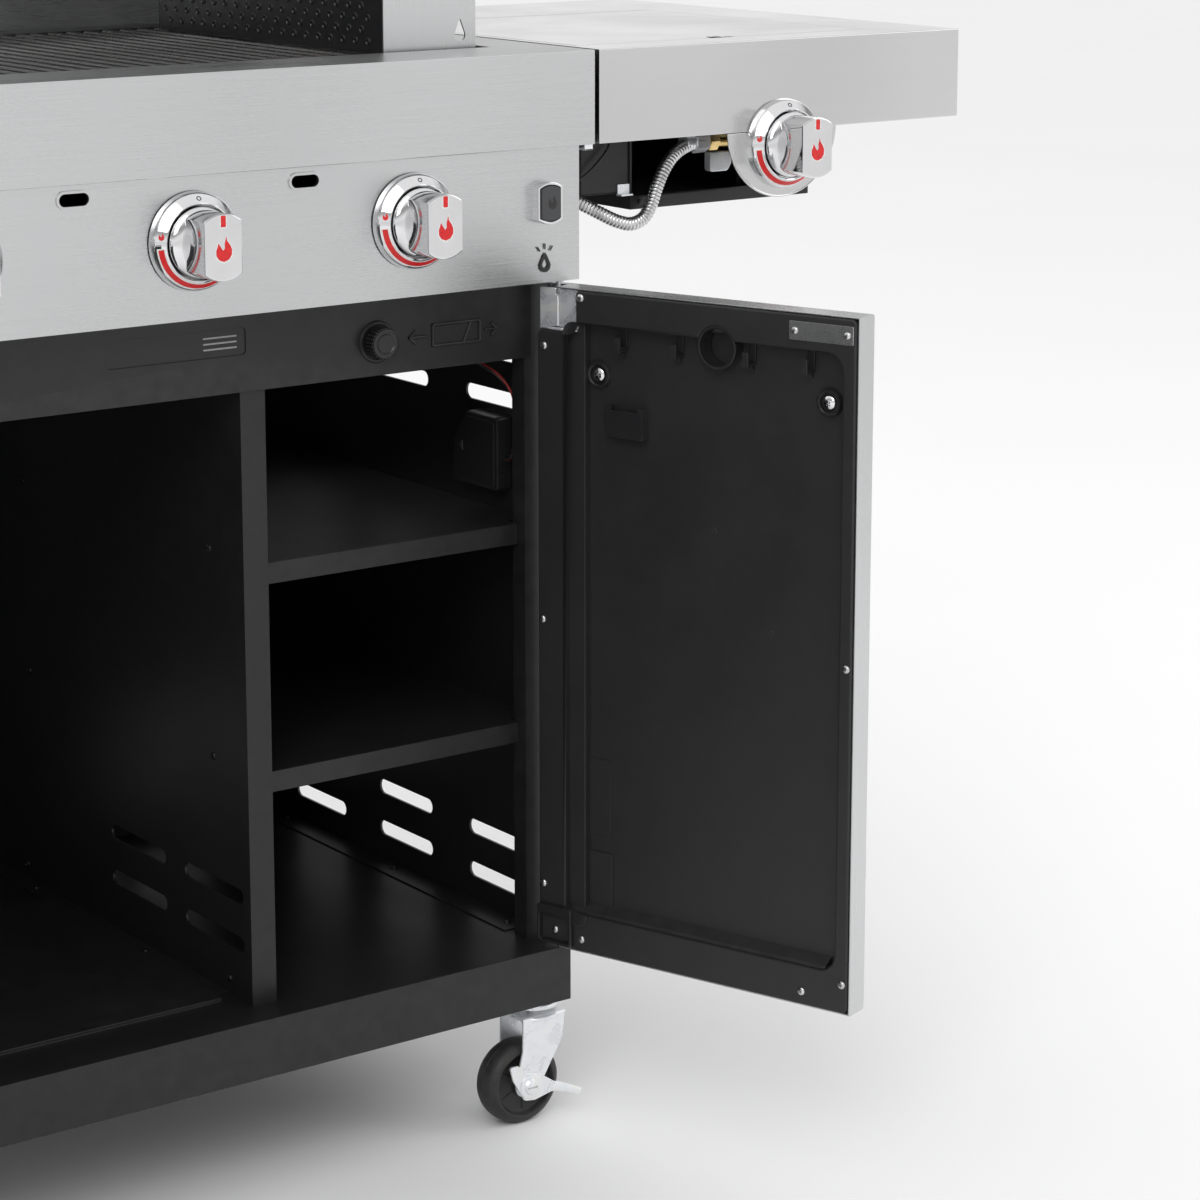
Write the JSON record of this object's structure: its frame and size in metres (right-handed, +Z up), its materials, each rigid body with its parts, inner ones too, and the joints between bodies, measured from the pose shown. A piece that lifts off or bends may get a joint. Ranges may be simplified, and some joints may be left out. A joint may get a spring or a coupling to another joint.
{
  "type": "gas barbecue grill",
  "caption": "Cabinet gas barbecue grill on casters, with a hinged hood, cast grates, side shelves with a side burner, and two doors.",
  "frame": {"origin": "on the floor, under the middle of the part as it stands with its hood and doors open", "axes": "+X to the right of a person facing the controls, +Y from the front to the back, +Z up"},
  "size_m": [1.442, 1.0096, 1.316],
  "materials": {
    "black_steel": "satin black powder coat",
    "stainless": "brushed stainless steel",
    "shelf_steel": "fine brushed stainless steel",
    "chrome": "polished chrome plate",
    "cast_iron": "glossy enamelled cast iron",
    "emitter_steel": "heat-darkened stainless steel",
    "burner_steel": "plain stainless steel",
    "black_plastic": "moulded black plastic, fine grain",
    "zinc": "bright zinc plate",
    "brass": "turned brass",
    "hose_steel": "corrugated stainless hose",
    "wire": "sleeved ignition wires",
    "button_grey": "dark grey plastic",
    "cap_black": "black cast end caps",
    "needle_red": "painted pointer",
    "wheel_rubber": "hard black tread",
    "tray_steel": "galvanised sheet"
  },
  "bodies": {
    "cart": {"base_tray": "black_steel", "side_panels": "black_steel", "back_panel": "black_steel", "divider_panel": "black_steel", "cabinet_shelves": "black_steel", "front_rail": "black_steel", "control_panel": "stainless", "front_trim": "stainless", "firebox": "black_steel", "end_baffles": "stainless", "baffle_walls": "black_steel", "cooking_grates": "cast_iron", "emitter_plates": "emitter_steel", "main_burners": "burner_steel", "gas_valves": "brass", "manifold_pipe": "tray_steel", "knob_bezels": "chrome", "igniter_collar": "chrome", "battery_box": "black_plastic", "igniter_wires": "wire", "side_shelf_right": "shelf_steel", "side_burner_box": "black_steel", "side_burner_head": "burner_steel", "side_burner_grate": "cast_iron", "gas_hose": "hose_steel", "side_shelf_left": "shelf_steel", "hinge_pins": "zinc", "caster_plates": "zinc"},
    "rail_thumb_knob": {"rail_thumb_knob": "black_plastic"},
    "igniter_button": {"igniter_button": "button_grey"},
    "grease_tray": {"grease_tray": "tray_steel"},
    "hood": {"hood_shell": "stainless", "hood_ends": "cap_black", "hood_handle": "shelf_steel", "thermometer": "chrome"},
    "thermometer_needle": {"thermometer_needle": "needle_red"},
    "side_burner_lid": {"side_burner_lid": "shelf_steel"},
    "door_right": {"door_right_skin": "stainless", "door_right_liner": "black_plastic", "door_right_handle": "shelf_steel"},
    "door_left": {"door_left_skin": "stainless", "door_left_liner": "black_plastic", "door_left_handle": "shelf_steel"},
    "stem_left": {"stem_left": "brass"},
    "knob_left": {"knob_left": "chrome"},
    "stem_middle": {"stem_middle": "brass"},
    "knob_middle": {"knob_middle": "chrome"},
    "stem_right": {"stem_right": "brass"},
    "knob_right": {"knob_right": "chrome"},
    "side_knob": {"side_knob": "chrome"},
    "fork_front_right": {"fork_front_right": "zinc"},
    "wheel_front_right": {"wheel_front_right": "wheel_rubber"},
    "fork_front_left": {"fork_front_left": "zinc"},
    "wheel_front_left": {"wheel_front_left": "wheel_rubber"},
    "fork_back_right": {"fork_back_right": "zinc"},
    "wheel_back_right": {"wheel_back_right": "wheel_rubber"},
    "fork_back_left": {"fork_back_left": "zinc"},
    "wheel_back_left": {"wheel_back_left": "wheel_rubber"},
    "brake_right": {"brake_right": "zinc"},
    "brake_left": {"brake_left": "zinc"}
  },
  "joints": [
    {"name": "hood_hinge", "type": "hinge", "parent": "cart", "child": "hood", "pos_m": [0, 0.28583, 0.882], "axis": [-1, 0, 0], "range_deg": [-90, 0]},
    {"name": "thermometer_sweep", "type": "hinge", "parent": "hood", "child": "thermometer_needle", "pos_m": [0, 0.34983, 1.271], "axis": [0, 0, 1], "range_deg": [-130, 130]},
    {"name": "door_right_hinge", "type": "hinge", "parent": "cart", "child": "door_right", "pos_m": [0.324, -0.15717, 0.4], "axis": [0, 0, 1], "range_deg": [-109, 14]},
    {"name": "door_left_hinge", "type": "hinge", "parent": "cart", "child": "door_left", "pos_m": [-0.324, -0.15717, 0.4], "axis": [0, 0, -1], "range_deg": [-112, 11]},
    {"name": "knob_left_push", "type": "slide", "parent": "cart", "child": "stem_left", "axis": [0, 1, 0], "range_m": [0, 0.003], "stiffness_N_per_m": 800},
    {"name": "knob_left_turn", "type": "hinge", "parent": "stem_left", "child": "knob_left", "pos_m": [-0.186, -0.16917, 0.741], "axis": [0, -1, 0], "range_deg": [0, 250]},
    {"name": "knob_middle_push", "type": "slide", "parent": "cart", "child": "stem_middle", "axis": [0, 1, 0], "range_m": [0, 0.003], "stiffness_N_per_m": 800},
    {"name": "knob_middle_turn", "type": "hinge", "parent": "stem_middle", "child": "knob_middle", "pos_m": [0, -0.16917, 0.741], "axis": [0, -1, 0], "range_deg": [0, 250]},
    {"name": "knob_right_push", "type": "slide", "parent": "cart", "child": "stem_right", "axis": [0, 1, 0], "range_m": [0, 0.003], "stiffness_N_per_m": 800},
    {"name": "knob_right_turn", "type": "hinge", "parent": "stem_right", "child": "knob_right", "pos_m": [0.186, -0.16917, 0.741], "axis": [0, -1, 0], "range_deg": [0, 250]},
    {"name": "side_knob_turn", "type": "hinge", "parent": "cart", "child": "side_knob", "pos_m": [0.534, -0.17917, 0.777], "axis": [0, -1, 0], "range_deg": [0, 250]},
    {"name": "igniter_button_push", "type": "slide", "parent": "cart", "child": "igniter_button", "axis": [0, 1, 0], "range_m": [0, 0.003], "stiffness_N_per_m": 500},
    {"name": "rail_thumb_knob_turn", "type": "hinge", "parent": "cart", "child": "rail_thumb_knob", "pos_m": [0.17, -0.14417, 0.648], "axis": [0, -1, 0], "range_deg": [-90, 90]},
    {"name": "side_burner_lid_hinge", "type": "hinge", "parent": "cart", "child": "side_burner_lid", "pos_m": [0.506, 0.15683, 0.853], "axis": [-1, 0, 0], "range_deg": [0, 88]},
    {"name": "grease_tray_slide", "type": "slide", "parent": "cart", "child": "grease_tray", "axis": [0, 1, 0], "range_m": [0, 0.3]},
    {"name": "caster_front_right_swivel", "type": "hinge", "parent": "cart", "child": "fork_front_right", "pos_m": [0.307, -0.14117, 0.094], "axis": [0, 0, 1], "continuous": true},
    {"name": "caster_front_right_roll", "type": "hinge", "parent": "fork_front_right", "child": "wheel_front_right", "pos_m": [0.291, -0.14117, 0.0345], "axis": [0, 1, 0], "continuous": true},
    {"name": "caster_front_left_swivel", "type": "hinge", "parent": "cart", "child": "fork_front_left", "pos_m": [-0.307, -0.14117, 0.094], "axis": [0, 0, 1], "continuous": true},
    {"name": "caster_front_left_roll", "type": "hinge", "parent": "fork_front_left", "child": "wheel_front_left", "pos_m": [-0.291, -0.14117, 0.0345], "axis": [0, 1, 0], "continuous": true},
    {"name": "caster_back_right_swivel", "type": "hinge", "parent": "cart", "child": "fork_back_right", "pos_m": [0.307, 0.27683, 0.094], "axis": [0, 0, 1], "continuous": true},
    {"name": "caster_back_right_roll", "type": "hinge", "parent": "fork_back_right", "child": "wheel_back_right", "pos_m": [0.291, 0.27683, 0.0345], "axis": [0, 1, 0], "continuous": true},
    {"name": "caster_back_left_swivel", "type": "hinge", "parent": "cart", "child": "fork_back_left", "pos_m": [-0.307, 0.27683, 0.094], "axis": [0, 0, 1], "continuous": true},
    {"name": "caster_back_left_roll", "type": "hinge", "parent": "fork_back_left", "child": "wheel_back_left", "pos_m": [-0.291, 0.27683, 0.0345], "axis": [0, 1, 0], "continuous": true},
    {"name": "brake_right_press", "type": "hinge", "parent": "fork_front_right", "child": "brake_right", "pos_m": [0.291, -0.15917, 0.0345], "axis": [0, 1, 0], "range_deg": [0, 15]},
    {"name": "brake_left_press", "type": "hinge", "parent": "fork_front_left", "child": "brake_left", "pos_m": [-0.291, -0.15917, 0.0345], "axis": [0, -1, 0], "range_deg": [0, 15]}
  ]
}
